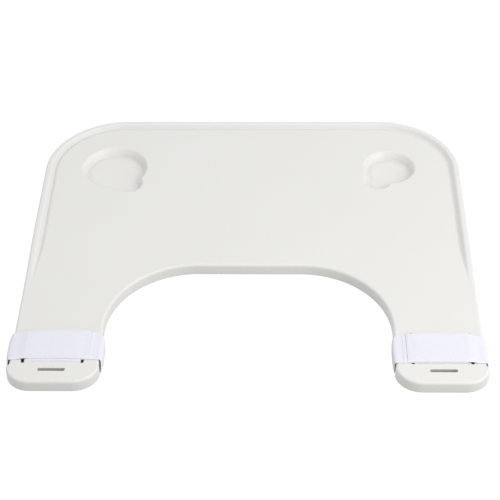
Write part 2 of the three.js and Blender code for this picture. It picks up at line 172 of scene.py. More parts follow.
def piece_from(name, points, faces, material, smooth=True):
    """An object from points in millimetres and, for each face, the numbers of its corners."""
    mesh = bpy.data.meshes.new(name)
    mesh.from_pydata((np.asarray(points) * 0.001).tolist(), [], faces)
    mesh.polygons.foreach_set("use_smooth", np.full(len(mesh.polygons), smooth))
    if material is not None:
        mesh.materials.append(material)
    made = bpy.data.objects.new(name, mesh)
    scene.collection.objects.link(made)
    return made


half = SWEEP_HALF * 1000
sweep = piece_from("sweep", [(-half, -half, 0), (half, -half, 0), (half, half, 0), (-half, half, 0)],
                   [(0, 1, 2, 3)], sweep_paper(), smooth=False)

# ---------------------------------------------------------------------------
# Tray board: one injection-moulded ABS moulding, open underneath. A profile (side, rounded edge,
# rim crest, inner slope of the rim) runs round the U outline. The cup wells, the slots and the
# ribbed hollow under the skin are cut from it.
# ---------------------------------------------------------------------------

# Outline, with its corner radii. All sizes of the tray and its straps are in millimetres.
BOARD_WIDTH = 601.5
BOARD_DEPTH = 541.5
BOARD_HEIGHT = 17.0
BACK_CORNER = 114.0
ARM_WIDTH = 113.75
OUTER_TIP = 29.5
INNER_TIP = 33.0
CUTOUT_DEPTH = 218.5
CUTOUT_CORNER = 118.0

# Shoulders: their start and end above the tips, and how far each side of the arm widens
SHOULDER_START = 33.0
SHOULDER_END = 26.0
OUTER_SHOULDER = 3.3
INNER_SHOULDER = 1.7

# Walls and rounds
SKIN = 3.0
SKIRT = 3.0
EDGE_ROUND = 3.6
FOOT_ROUND = 0.6
ROOT_ROUND = 1.2

# Rim: its height over the board, its crest's and slope's widths, the distances from the back
# between which it fades out, and the gutter at its foot. Guard rings keep the rounds' shading
# off the flats beside them.
RIM_HEIGHT = 4.0
RIM_CREST = 6.5
RIM_SLOPE = 7.2
RIM_SLOPE_LEAST = 3.5
RIM_FADE_START = 275.0
RIM_FADE_END = 362.0
GUTTER_DEPTH = 1.5
GUTTER_WIDTH = 4.2
SIDE_GUARD = 0.8
CREST_GUARD = 0.6

back_y = BOARD_DEPTH / 2
arm_x = BOARD_WIDTH / 2 - ARM_WIDTH / 2
arm_half = ARM_WIDTH / 2


def outline_through(corners, stride=3.0):
    """Points and inward unit normals round a right-angled outline with rounded corners.

    Each corner (x, y, radius) becomes a quarter circle that touches both sides, and each straight
    stretch between two circles is cut into even steps. The run is anticlockwise.
    """
    points, normals = [], []
    places = np.array([c[:2] for c in corners], float)
    count = len(corners)
    for i, (x, y, radius) in enumerate(corners):
        along = places[i] - places[i - 1]
        away = places[(i + 1) % count] - places[i]
        along, away = along / np.linalg.norm(along), away / np.linalg.norm(away)
        first, last = np.array([-along[1], along[0]]), np.array([-away[1], away[0]])
        side = np.sign(along[0] * away[1] - along[1] * away[0])
        centre = places[i] + side * radius * (first + last)
        turns = np.linspace(0, np.pi / 2, int(np.ceil(radius * np.pi / 2 / stride)) + 1)[:, None]
        normal = first * np.cos(turns) + last * np.sin(turns)
        points.append(centre - side * radius * normal)
        normals.append(normal)
        following = corners[(i + 1) % count]
        end = places[(i + 1) % count] - away * following[2]
        start = points[-1][-1]
        steps = int(np.linalg.norm(end - start) / stride)
        shares = np.linspace(0, 1, steps + 1)[1:-1, None]
        points.append(start + (end - start) * shares)
        normals.append(np.repeat(last[None], len(shares), axis=0))
    return np.concatenate(points), np.concatenate(normals)


def quarter_turns(steps):
    """Angles up to a right angle in even steps, without the first, which is 0."""
    return np.linspace(0, np.pi / 2, steps + 1)[1:]


def eased(share):
    """Smooth step: three times the square of a share from 0 to 1, less twice its cube."""
    share = np.clip(share, 0, 1)
    return share * share * (3 - 2 * share)


def loft(rings):
    """Closed surface through rings (rows, points, 3) from bottom to top, both ends capped flat."""
    rows, count = rings.shape[:2]
    index = np.arange(rows * count).reshape(rows, count)
    low, high = index[:-1], index[1:]
    quads = np.stack([low, np.roll(low, -1, 1), np.roll(high, -1, 1), high], -1).reshape(-1, 4)
    caps = [index[0, ::-1].tolist(), index[-1].tolist()]
    return rings.reshape(-1, 3), quads.tolist() + caps


def rings_of(points, normals, insets, heights):
    """Rings of an outline moved inwards by insets and put at heights, each a number or an array."""
    insets = [np.broadcast_to(i, len(points))[:, None] for i in insets]
    heights = [np.broadcast_to(h, len(points))[:, None] for h in heights]
    return np.stack([np.hstack([points + normals * i, h]) for i, h in zip(insets, heights)])


def board_form():
    """Side, edge round, crest, slope and gutter round the whole outline. The rim's share eases from
    1 to 0 along the sides, and lowers its crest, narrows its slope and fills the shallow gutter at
    its foot together. The tips widen over a short shoulder that keeps the strap from slipping off."""
    tip_y, cut = back_y - BOARD_DEPTH, BOARD_WIDTH / 2 - ARM_WIDTH
    wide = BOARD_WIDTH / 2
    points, normals = outline_through([
        (wide, back_y, BACK_CORNER), (-wide, back_y, BACK_CORNER),
        (-wide, tip_y, OUTER_TIP), (-cut, tip_y, INNER_TIP),
        (-cut, tip_y + CUTOUT_DEPTH, CUTOUT_CORNER), (cut, tip_y + CUTOUT_DEPTH, CUTOUT_CORNER),
        (cut, tip_y, INNER_TIP), (wide, tip_y, OUTER_TIP)])
    on_side = np.abs(points[:, 0]) > wide - 1e-6
    widened = eased((tip_y + SHOULDER_START - points[:, 1]) / (SHOULDER_START - SHOULDER_END))
    u = np.abs(points[:, 0]) - arm_x
    widening = np.where(u > 0, OUTER_SHOULDER, INNER_SHOULDER) * widened
    points[:, 0] += np.sign(points[:, 0]) * widening * u / arm_half
    faded = eased((back_y - points[:, 1] - RIM_FADE_START) / (RIM_FADE_END - RIM_FADE_START))
    rimmed = on_side | (points[:, 1] >= back_y - BACK_CORNER)
    share = np.where(rimmed, 1 - faded, 0)
    crest = BOARD_HEIGHT + RIM_HEIGHT * share
    slope = RIM_SLOPE_LEAST + (RIM_SLOPE - RIM_SLOPE_LEAST) * share
    foot = quarter_turns(4)
    insets = [FOOT_ROUND, *(FOOT_ROUND * (1 - np.sin(foot)))]
    heights = [0.0, *(FOOT_ROUND * (1 - np.cos(foot)))]
    insets += [0.0, 0.0]
    heights += [crest - EDGE_ROUND - SIDE_GUARD, crest - EDGE_ROUND]
    edge = quarter_turns(9)
    insets += [*(EDGE_ROUND * (1 - np.cos(edge)))]
    heights += [crest - EDGE_ROUND * (1 - np.sin(a)) for a in edge]
    insets += [EDGE_ROUND + CREST_GUARD, RIM_CREST - CREST_GUARD]
    heights += [crest, crest]
    gutter = GUTTER_DEPTH * share
    for s in np.linspace(0, 1, 11):
        insets.append(RIM_CREST + slope * s)
        heights.append(crest - (crest - BOARD_HEIGHT + gutter) * eased(s))
    for s in np.linspace(0, 1, 7)[1:]:
        insets.append(RIM_CREST + slope + GUTTER_WIDTH * share * s + s)
        heights.append(BOARD_HEIGHT - gutter * (1 - s) ** 2)
    insets.append(RIM_CREST + RIM_SLOPE + GUTTER_WIDTH + 2)
    heights.append(BOARD_HEIGHT)
    return points, normals, rings_of(points, normals, insets, heights)


# A cup well is a round dish and a smaller round lobe for the cup's handle. A tight notch joins
# them on one side and a long sweep on the other. Each well has its dish's place across the board
# and from the back, the dish's radius, the lobe's offset from the dish, and the lobe's radius.
WELLS = [((-200.0, 109.0), 48.5, (23.0, -36.0), 21.4),
         ((200.0, 107.7), 38.7, (-18.0, -31.3), 21.0)]
WELL_DEPTH = 11.0
WALL_ANGLE = math.radians(60)
LIP_ROUND = 3.0
FLOOR_ROUND = 1.2
NOTCH_ROUND = 4.2
SWEEP_ROUND = 110.0

# Cutters reach past what they cut, each by its own amount, so that no two faces fall together.
WELL_CUTTER_TOP = BOARD_HEIGHT + 8
MOUTH_CUTTER_TOP = BOARD_HEIGHT + 6
HOLLOW_CUTTER_FOOT = -2.0
RIB_CUTTER_FOOT = -3.0
MOUTH_CUTTER_FOOT = -4.0


def well_outline(place, dish_radius, lobe_offset, lobe_radius, stride=1.5):
    """Sweep, lobe, notch and dish arcs, anticlockwise, with normals into the well.

    Each joining circle touches the dish and the lobe from outside, so its centre is where circles
    of their radii plus its own cross.
    """
    dish = np.array([place[0], back_y - place[1]])
    lobe = dish + lobe_offset
    apart, heading = np.hypot(*lobe_offset), math.atan2(lobe_offset[1], lobe_offset[0])
    swings = []
    for joint in (NOTCH_ROUND, SWEEP_ROUND):
        a, b = dish_radius + joint, lobe_radius + joint
        swings.append(math.acos((a * a + apart * apart - b * b) / (2 * a * apart)))
    after, before = [dish + (dish_radius + joint) * np.array([math.cos(turn), math.sin(turn)])
                     for joint, turn in ((NOTCH_ROUND, heading + swings[0]),
                                         (SWEEP_ROUND, heading - swings[1]))]

    def arc(centre, radius, start, end, inward):
        steps = max(3, int(abs(end - start) * radius / stride))
        angle = start + (end - start) * (np.arange(steps) + 0.5) / steps
        out = np.stack([np.cos(angle), np.sin(angle)], 1)
        return centre + radius * out, inward * out

    def joining_arc(centre, radius, start_at, end_at):
        start, end = (math.atan2(*(p - centre)[::-1]) for p in (start_at, end_at))
        return arc(centre, radius, start, end - 2 * np.pi if end > start else end, 1)

    lobe_start, lobe_end = (math.atan2(*(p - lobe)[::-1]) for p in (before, after))
    lobe_end += 2 * np.pi if lobe_end < lobe_start else 0
    arcs = [arc(dish, dish_radius, heading + swings[0], heading + 2 * np.pi - swings[1], -1),
            joining_arc(before, SWEEP_ROUND, dish, lobe),
            arc(lobe, lobe_radius, lobe_start, lobe_end, -1),
            joining_arc(after, NOTCH_ROUND, lobe, dish)]
    return [np.concatenate(part) for part in zip(*arcs)]


def well_section(steps=8):
    """Insets and depths from lip to floor: a lip arc, a straight wall and a foot arc."""
    turns = np.linspace(0, WALL_ANGLE, steps + 1)
    lip_in, lip_down = LIP_ROUND * np.sin(turns), LIP_ROUND * (1 - np.cos(turns))
    wall = WELL_DEPTH - lip_down[-1] - FLOOR_ROUND * (1 - math.cos(WALL_ANGLE))
    foot_in = lip_in[-1] + wall / math.tan(WALL_ANGLE)
    back = turns[::-1]
    insets = np.concatenate([lip_in, foot_in + FLOOR_ROUND * (math.sin(WALL_ANGLE) - np.sin(back))])
    depths = np.concatenate([lip_down, WELL_DEPTH - FLOOR_ROUND * (1 - np.cos(back))])
    return insets, depths


def gathered(parts):
    """One mesh of several closed ones: points end to end, corner numbers moved on to match."""
    starts = np.cumsum([0] + [len(points) for points, _ in parts]).tolist()
    faces = [[int(c) + start for c in face]
             for (_, own), start in zip(parts, starts) for face in own]
    return np.concatenate([points for points, _ in parts]), faces


def wells(grow):
    """The hollows of both wells, or the outer shells under them when grown by the skin."""
    made = []
    for place, radius, lobe, lobe_radius in WELLS:
        points, normals = well_outline(place, radius, np.array(lobe), lobe_radius)
        insets, depths = well_section()
        insets, heights = insets[::-1] - grow, BOARD_HEIGHT - grow - depths[::-1]
        rings = rings_of(points, normals, [*insets, insets[-1]], [*heights, WELL_CUTTER_TOP])
        made.append(loft(rings))
    return gathered(made)


# Strap slots run along each side of the arm, and a tip slot across it. Their mouths are rounded,
# and a sleeve stands round each under the skin. A place across an arm is u, outwards from its
# middle, and v is along the arm, away from its tip.
STRAP_SLOT_INSET = 61.0
STRAP_SLOT_WIDTH = 4.6
STRAP_SLOT_LENGTH = 55.0
OUTER_SLOT_SIDE = 17.25
INNER_SLOT_SIDE = 21.6
TIP_SLOT_INSET = 22.1
TIP_SLOT_LENGTH = 34.8
TIP_SLOT_WIDTH = 4.8
SLOT_WALL = 2.0
MOUTH_ROUND = 0.7
outer_slot_u = arm_half - OUTER_SLOT_SIDE
inner_slot_u = INNER_SLOT_SIDE - arm_half
tip_slot_u = (outer_slot_u + inner_slot_u) / 2
slot_y = -back_y + STRAP_SLOT_INSET
tip_slot_y = -back_y + TIP_SLOT_INSET


def slots(insets, heights):
    """A prism for each slot: an outline with half-round ends, and one section for all."""
    turns = np.linspace(-np.pi / 2, np.pi / 2, 13)
    end = np.stack([np.cos(turns), np.sin(turns)], 1)
    normals = -np.concatenate([end, -end])
    made = []
    for side in (-1, 1):
        for x, y, length, width, along_arm in (
                (side * (arm_x + inner_slot_u), slot_y, STRAP_SLOT_LENGTH, STRAP_SLOT_WIDTH, True),
                (side * (arm_x + outer_slot_u), slot_y, STRAP_SLOT_LENGTH, STRAP_SLOT_WIDTH, True),
                (side * (arm_x + tip_slot_u), tip_slot_y, TIP_SLOT_LENGTH, TIP_SLOT_WIDTH, False)):
            reach = np.array([(length - width) / 2, 0.0])
            points = np.concatenate([reach + end * width / 2, -reach - end * width / 2])
            turned = [np.stack([-a[:, 1], a[:, 0]], 1) if along_arm else a
                      for a in (points, normals)]
            made.append(loft(rings_of(turned[0] + (x, y), turned[1], insets, heights)))
    return gathered(made)


# Ribs stand in a grid under the skin. Shallow reliefs in the underside take the straps.
RIB_HALF = 1.0
RIB_DRAFT = 0.2
RIB_PITCH_WIDEST = 61.0
RIB_REACH = 400.0
RELIEF_DEPTH = 1.7
RELIEF_MARGIN = 5.0
RELIEF_PAST_SIDE = 5.0


def prism(outline, axis, low, high):
    """An outline in the other two axes carried along one axis from low to high. Its faces are
    turned round where the first of them would look at the middle."""
    outline = np.asarray(outline, float)
    ends = [np.insert(outline, axis, value, axis=1) for value in (low, high)]
    count = len(outline)
    index = np.arange(count)
    sides = np.stack([index, np.roll(index, -1), np.roll(index, -1) + count, index + count], 1)
    points = np.concatenate(ends)
    a, b, c = points[sides[0, 0]], points[sides[0, 1]], points[sides[0, 3]]
    faces = sides.tolist() + [index[::-1].tolist(), (index + count).tolist()]
    centre = points.mean(axis=0)
    outward = np.dot(np.cross(b - a, c - a), a - centre) > 0
    return points, faces if outward else [face[::-1] for face in faces]


def rib_rows(axis):
    """Ribs that run along one axis. Each is drafted, and flares to a root round under the skin."""
    turns = np.linspace(0, np.pi / 2, 5)
    root_x = RIB_HALF + RIB_DRAFT + ROOT_ROUND * (1 - np.cos(turns))
    root_z = BOARD_HEIGHT - SKIN - ROOT_ROUND * (1 - np.sin(turns))
    half_x = np.concatenate([[RIB_HALF], root_x, [root_x[-1]]])
    heights = np.concatenate([[RIB_CUTTER_FOOT], root_z, [BOARD_HEIGHT - SKIN + 1]])
    section = np.stack([np.concatenate([half_x, -half_x[::-1]]),
                        np.concatenate([heights, heights[::-1]])], 1)
    if axis == 1:
        pitch = arm_x / math.ceil(arm_x / RIB_PITCH_WIDEST)
        reach = int((BOARD_WIDTH / 2 - SKIRT) / pitch)
        places = np.arange(-reach, reach + 1) * pitch
    else:
        rows = math.ceil(BOARD_DEPTH / RIB_PITCH_WIDEST)
        places = -back_y + np.arange(1, rows) * BOARD_DEPTH / rows
    return gathered([prism(section + (place, 0), axis, -RIB_REACH, RIB_REACH) for place in places])


def strap_reliefs():
    """Shallow boxes under each arm, from each strap slot out past the side, where the strap lies."""
    made = []
    half = (STRAP_SLOT_LENGTH + RELIEF_MARGIN) / 2
    for side in (-1, 1):
        for end, slot in ((-1, inner_slot_u), (1, outer_slot_u)):
            x0, x1 = sorted(side * (arm_x + u) for u in (slot - end * STRAP_SLOT_WIDTH / 2,
                                                         end * (arm_half + RELIEF_PAST_SIDE)))
            y0, y1 = slot_y - half, slot_y + half
            corners = [(x0, y0), (x1, y0), (x1, y1), (x0, y1)]
            made.append(prism(corners, 2, RIB_CUTTER_FOOT, RELIEF_DEPTH))
    return gathered(made)


def cut(body, *cutters):
    """Takes cutters (points, faces) from a body by exact booleans and returns the body's object."""
    for points, faces in cutters:
        cutter = piece_from("cutter", points, faces, None)
        step = body.modifiers.new("cut", "BOOLEAN")
        step.operation, step.solver, step.object = "DIFFERENCE", "MANIFOLD", cutter
        evaluated = body.evaluated_get(bpy.context.evaluated_depsgraph_get())
        done = bpy.data.meshes.new_from_object(evaluated)
        body.modifiers.clear()
        body.data = done
        bpy.data.objects.remove(cutter)
    return body


def hollow_under(points, normals):
    """The space under the skin and inside the skirt, less ribs, well shells and slot sleeves."""
    root = quarter_turns(4)
    flare = ROOT_ROUND * (1 - np.cos(root))
    ceiling = BOARD_HEIGHT - SKIN
    root_heights = [ceiling - ROOT_ROUND, *(ceiling - ROOT_ROUND * (1 - np.sin(root)))]
    insets = [SKIRT, SKIRT, *(SKIRT + flare)]
    heights = [HOLLOW_CUTTER_FOOT, *root_heights]
    space = piece_from("space", *loft(rings_of(points, normals, insets, heights)), None)
    sleeve = [-SLOT_WALL, -SLOT_WALL, *(-SLOT_WALL - flare), -SLOT_WALL - ROOT_ROUND]
    sleeve_heights = [RIB_CUTTER_FOOT, *root_heights, BOARD_HEIGHT]
    cut(space, rib_rows(0), rib_rows(1), wells(SKIN), slots(sleeve, sleeve_heights))
    flat = np.empty(len(space.data.vertices) * 3)
    space.data.vertices.foreach_get("co", flat)
    faces = [list(p.vertices) for p in space.data.polygons]
    bpy.data.objects.remove(space)
    return flat.reshape(-1, 3) * 1000, faces


CREASE_ANGLE = math.radians(32)
ON_LEVEL = 0.002
NEARLY_UPRIGHT = 0.85


def even_normals(mesh, levels):
    """Smooth shading with creases, and straight normals wherever a corner with a nearly upright
    one lies on one of the big flat levels, so that rounds run into flats without a smear."""
    mesh.polygons.foreach_set("use_smooth", np.ones(len(mesh.polygons), bool))
    mesh.set_sharp_from_angle(angle=CREASE_ANGLE)
    corners = len(mesh.loops)
    normals, vertex = np.empty(corners * 3), np.empty(corners, int)
    mesh.corner_normals.foreach_get("vector", normals)
    mesh.loops.foreach_get("vertex_index", vertex)
    places = np.empty(len(mesh.vertices) * 3)
    mesh.vertices.foreach_get("co", places)
    normals, height = normals.reshape(-1, 3), places.reshape(-1, 3)[vertex, 2] * 1000
    on_level = np.min(np.abs(height[:, None] - np.array(levels)), axis=1) < ON_LEVEL
    upright = on_level & (np.abs(normals[:, 2]) > NEARLY_UPRIGHT)
    normals[upright] = np.stack([0 * height, 0 * height, np.sign(normals[:, 2])], 1)[upright]
    mesh.normals_split_custom_set(normals.tolist())


points, normals, rings = board_form()
board = piece_from("tray_top", *loft(rings), None)
mouth = quarter_turns(5)
mouth_insets = [0.0, 0.0, *(-MOUTH_ROUND * (1 - np.cos(mouth))), -MOUTH_ROUND]
mouth_heights = [MOUTH_CUTTER_FOOT, BOARD_HEIGHT - MOUTH_ROUND,
                 *(BOARD_HEIGHT - MOUTH_ROUND * (1 - np.sin(mouth))), MOUTH_CUTTER_TOP]
cut(board, hollow_under(points, normals), wells(0), slots(mouth_insets, mouth_heights),
    strap_reliefs())
even_normals(board.data, (BOARD_HEIGHT, BOARD_HEIGHT - WELL_DEPTH, BOARD_HEIGHT - SKIN,
                          BOARD_HEIGHT - SKIN - WELL_DEPTH, 0))


def moulded_plastic():
    """Off-white ABS with a fine spark-eroded grain: satin, so lamps show as soft wide glints.
    The grain of 0.35 mm is drawn at 0.7 mm, with pits 1.1 mm apart, so that it shows, and a faint
    cloudiness runs over 80 mm. Painted shade, darker within 12 mm of a wall by ambient occlusion,
    darkens the gutter, the wells' corners and the slots."""
    material, tree = new_material("moulded_abs_offwhite")
    place = add_node(tree, "ShaderNodeTexCoord").outputs["Object"]
    cloud = add_node(tree, "ShaderNodeTexNoise", [("Vector", place)], Scale=12.0, Detail=2.0)
    grain = add_node(tree, "ShaderNodeTexNoise", [("Vector", place)], Scale=1400.0, Detail=3.0,
                     Roughness=0.6)
    pits = add_node(tree, "ShaderNodeTexVoronoi", [("Vector", place)], Scale=900.0)
    tint = add_node(tree, "ShaderNodeMix", [("Factor", cloud.outputs[0])], data_type="RGBA",
                    in_6=linear("#EAE9E4"), in_7=linear("#EDECE8"))
    # Painted shade: the colour darkens towards #BDBCB7 where walls lie within 12 mm, in the gutter, the
    # wells' corners and the slots.
    occlusion_for_shade = add_node(tree, "ShaderNodeAmbientOcclusion", samples=8, only_local=True,
                        Distance=0.012)
    painted_shade = add_node(tree, "ShaderNodeMix", [("Factor", occlusion_for_shade.outputs["AO"]), (7, tint.outputs[2])],
                    data_type="RGBA", in_6=linear("#BDBCB7"))
    satin = add_node(tree, "ShaderNodeMapRange", [("Value", grain.outputs[0])], To_Min=0.36,
                     To_Max=0.5)
    depth = add_node(tree, "ShaderNodeMath", [(0, grain.outputs[0]), (1, pits.outputs[0])],
                     operation="ADD")
    bump = add_node(tree, "ShaderNodeBump", [("Height", depth.outputs[0])], Strength=0.12,
                    Distance=0.0002)
    skin = add_node(tree, "ShaderNodeBsdfPrincipled",
                    [("Base Color", painted_shade.outputs[2]), ("Roughness", satin.outputs[0]),
                     ("Normal", bump.outputs[0])], IOR=1.53)
    add_node(tree, "ShaderNodeOutputMaterial", [("Surface", skin.outputs[0])])
    return material


board.data.materials.clear()
board.data.materials.append(moulded_plastic())
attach(board, "tray")
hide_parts("tray_board")

# ---------------------------------------------------------------------------
# Straps: on each arm one length of 50 mm woven polyester webbing, heat cut at both ends. From its
# tail on the arm it goes round the inner side, up the inner slot, over the bridge, down the outer
# slot, and round the outer side back over the tail, as the flap. The last turn is a second piece.
# ---------------------------------------------------------------------------

# Webbing with a thick selvedge, and the tapes and gaps between its layers on the arm
WEBBING = 1.1
WEBBING_WIDTH = 50.0
SELVEDGE_BEAD = 0.09
SELVEDGE_INSET = 1.0
SELVEDGE_WIDTH = 0.45
LAYER_GAP = 0.08
PATCH_TAPE = 0.35
PATCH_INSET = 1.0
PILE_ROOM = 0.15
UNDER_GAP = 0.2

# Ends: the tail's from the outer slot, the flap's from the arm's inner side, and the splice of
# the two pieces, hidden in the outer slot
TAIL_END_INSET = 5.4
FLAP_END_INSET = 14.5
SPLICE_HEIGHT = 3.4
SPLICE_GAP = 0.1

# How far each strap stands out beside the arm, and how far its layers lie off the slots' middle
# along the arm: on top, in the slots, at the flap's hinge and at the foot of the sides
OUTER_BULGES = {"left": 5.1, "right": 3.9}
INNER_BULGES = {"left": 5.0, "right": 3.6}
FLAP_SHIFTS = {"left": 3.0, "right": -1.0}
TAIL_SHIFTS = {"left": 2.5, "right": -1.4}
SLOT_SHIFTS = {"left": 0.0, "right": 2.2}
HINGE_SHIFT = -1.0
LOW_SHIFT = -6.0
SIDE_ROUND = 1.2
SLOT_BEND = 1.1

# Beside the arm the edges are drawn in to it, beyond a distance from the strap's middle and by a
# share: the back edge at its shoulder, and the front edge
SHOULDER_FROM = 5.0
SHOULDER_PULL = 0.5
FRONT_FROM = 10.0
FRONT_PULL = 0.45

# On the arm the back edge is drawn forwards, most at each side (how far, and by which power of the
# way there), and sinks a little. The front edge sinks by shares of the layers under it.
EDGE_PULLS = {"left": {"inner": (5.0, 6), "outer": (4.2, 2)},
              "right": {"inner": (5.0, 5), "outer": (4.6, 5)}}
EDGE_DROP = 0.3
DROOP_FROM = 20.0
TAIL_DROOP = 0.85
FLAP_DROOP = 0.25

# Cut ends are rounded off over a length to a share of the thickness, and pressed ones likewise
THIN_END = 1.2
THIN_SHARE = 0.3
PRESS_LENGTH = 20.0
PRESS_SHARE = 0.25

slot_hug = (STRAP_SLOT_WIDTH - WEBBING) / 2 - LAYER_GAP
bridge_z = BOARD_HEIGHT + WEBBING / 2 + LAYER_GAP / 2
tail_z = bridge_z + WEBBING + LAYER_GAP
loop_z = tail_z + WEBBING / 2 + PATCH_TAPE / 2
hook_z = loop_z + PATCH_TAPE + PILE_ROOM
flap_z = hook_z + PATCH_TAPE / 2 + WEBBING / 2
under_z = WEBBING / 2 + UNDER_GAP
tail_end_u = outer_slot_u - TAIL_END_INSET
flap_end_u = FLAP_END_INSET - arm_half


def smooth_line(corners, stride=1.0):
    """An even-stepped line that rounds a polygon's corners: each stretch is cut at its quarter and
    three-quarter points, four times over, and the result is walked in steps of the stride."""
    line = np.array(corners, float)
    for _ in range(4):
        first, last = line[:-1] * 0.75 + line[1:] * 0.25, line[:-1] * 0.25 + line[1:] * 0.75
        line = np.concatenate([line[:1], np.stack([first, last], 1).reshape(-1, 3), line[-1:]])
    run = np.concatenate([[0], np.cumsum(np.linalg.norm(np.diff(line, axis=0), axis=1))])
    steps = np.linspace(0, run[-1], int(run[-1] / stride) + 1)
    return np.stack([np.interp(steps, run, line[:, i]) for i in range(3)], 1)


def side_corners(end, bulge, top, shift, slot_shift):
    """Corners (u, shift along the arm, z) of the wrap round one side of the arm, downwards."""
    out = arm_half + bulge - WEBBING / 2
    low = slot_shift + LOW_SHIFT
    return [(end * (arm_half + 0.6), shift, top), (end * out, shift, top - SIDE_ROUND - 1.0),
            (end * out, low, under_z + SIDE_ROUND + 1.0), (end * (arm_half + 0.6), low, under_z),
            (end * (arm_half - 6), slot_shift, under_z)]


def tail_line(inner_bulge, shift, slot_shift):
    """From the tail's end over the arm, round its inner side and back under it, up the inner slot,
    across the bridge and down the outer slot to the splice, as corners to be rounded."""
    inner, outer = inner_slot_u + slot_hug, outer_slot_u - slot_hug
    return smooth_line([
        (tail_end_u, shift, tail_z), (0, shift, tail_z), (inner_slot_u + 2, shift, tail_z),
        (inner_slot_u - 10, shift, tail_z - 0.1), (6 - arm_half, shift, bridge_z + 0.4),
        *side_corners(-1, inner_bulge, bridge_z + 0.25, shift, slot_shift),
        (inner - SLOT_BEND, slot_shift, under_z), (inner, slot_shift, under_z + SLOT_BEND),
        (inner, slot_shift, bridge_z - SLOT_BEND), (inner + SLOT_BEND, slot_shift, bridge_z),
        (outer - SLOT_BEND, slot_shift, bridge_z), (outer, slot_shift, bridge_z - SLOT_BEND),
        (outer, slot_shift, SPLICE_HEIGHT)])


def flap_line(outer_bulge, shift, slot_shift):
    """From the splice down the outer slot, out under the arm, round its outer side and back over
    the tail to the flap's end, as corners to be rounded."""
    start = outer_slot_u - slot_hug
    return smooth_line([
        (start, slot_shift, SPLICE_HEIGHT - SPLICE_GAP), (start, slot_shift, under_z + SLOT_BEND),
        (start + SLOT_BEND, slot_shift, under_z),
        *side_corners(1, outer_bulge, bridge_z + 0.45, shift + HINGE_SHIFT, slot_shift)[::-1],
        (arm_half - 4.5, shift + HINGE_SHIFT, bridge_z + 0.85),
        (arm_half - 10, shift + HINGE_SHIFT / 2, bridge_z + 1.25),
        (outer_slot_u + 1.5, shift, flap_z - 0.8),
        (outer_slot_u - 2.5, shift, flap_z), (outer_slot_u - 8, shift, flap_z),
        (4, shift, flap_z + 0.12), (-18, shift, flap_z + 0.08),
        (flap_end_u + 6, shift, flap_z - 0.15), (flap_end_u, shift, flap_z - 0.4)])


def band_section(width, thickness, bead):
    """Across and up round a band's section: flat faces with a bead along each edge, raised by a
    bell curve, and half-round edges. Its points lie close over the beads and wide between them."""
    flat = (width - thickness) / 2
    edge = np.linspace(0, 2.4, 7)
    across = np.concatenate([edge - flat, np.linspace(4.5 - flat, flat - 4.5, 13), flat - edge[::-1]])
    out = (np.abs(across) - (flat - SELVEDGE_INSET)) / SELVEDGE_WIDTH
    rise = thickness / 2 + bead * np.exp(-out ** 2)
    turns = np.linspace(0, np.pi, 7)[1:-1]
    round_v, round_h = flat + thickness / 2 * np.sin(turns), thickness / 2 * np.cos(turns)
    return (np.concatenate([across, round_v, across[::-1], -round_v]),
            np.concatenate([rise, round_h, -rise[::-1], -round_h]))


def pressed(beyond):
    """Share of a band's thickness left at a distance from its pressed end: a smooth step down."""
    return 1 - (1 - PRESS_SHARE) * eased(1 - beyond / PRESS_LENGTH)


def settled(side, u, v, z):
    """How far a strap's points at (u, v, z) are drawn forwards, and how far they sink.

    Its back edge is drawn forwards, by a power of the distance from the arm's middle, where it is
    a layer above the bridge or beside the arm. It sinks a little with the fourth power. Its front
    edge sinks towards the layers under it, by a share of its height above each of them.
    """
    pulls = EDGE_PULLS["right" if side > 0 else "left"]
    most, power = [np.where(u > 0, *pair) for pair in zip(pulls["outer"], pulls["inner"])]
    reach, back = np.abs(u) / arm_half, np.clip(v / (WEBBING_WIDTH / 2), 0, 1) ** 2
    front = np.clip((-v - DROOP_FROM) / (WEBBING_WIDTH / 2 - DROOP_FROM), 0, 1) ** 1.5
    over = np.clip((z - bridge_z) / WEBBING, 0, 1)
    climbed = np.clip((z - under_z) / (bridge_z - under_z), 0, 1)
    beside = np.clip((np.abs(u) - arm_half) / 4 + 1, 0, 1) * climbed
    over_bridge = TAIL_DROOP * np.clip(z - bridge_z, 0, tail_z - bridge_z)
    over_tail = FLAP_DROOP * np.clip(z - tail_z, 0, None)
    return (most * reach ** power * back * np.maximum(over, beside),
            EDGE_DROP * reach ** 4 * back * over + (over_bridge + over_tail) * front)


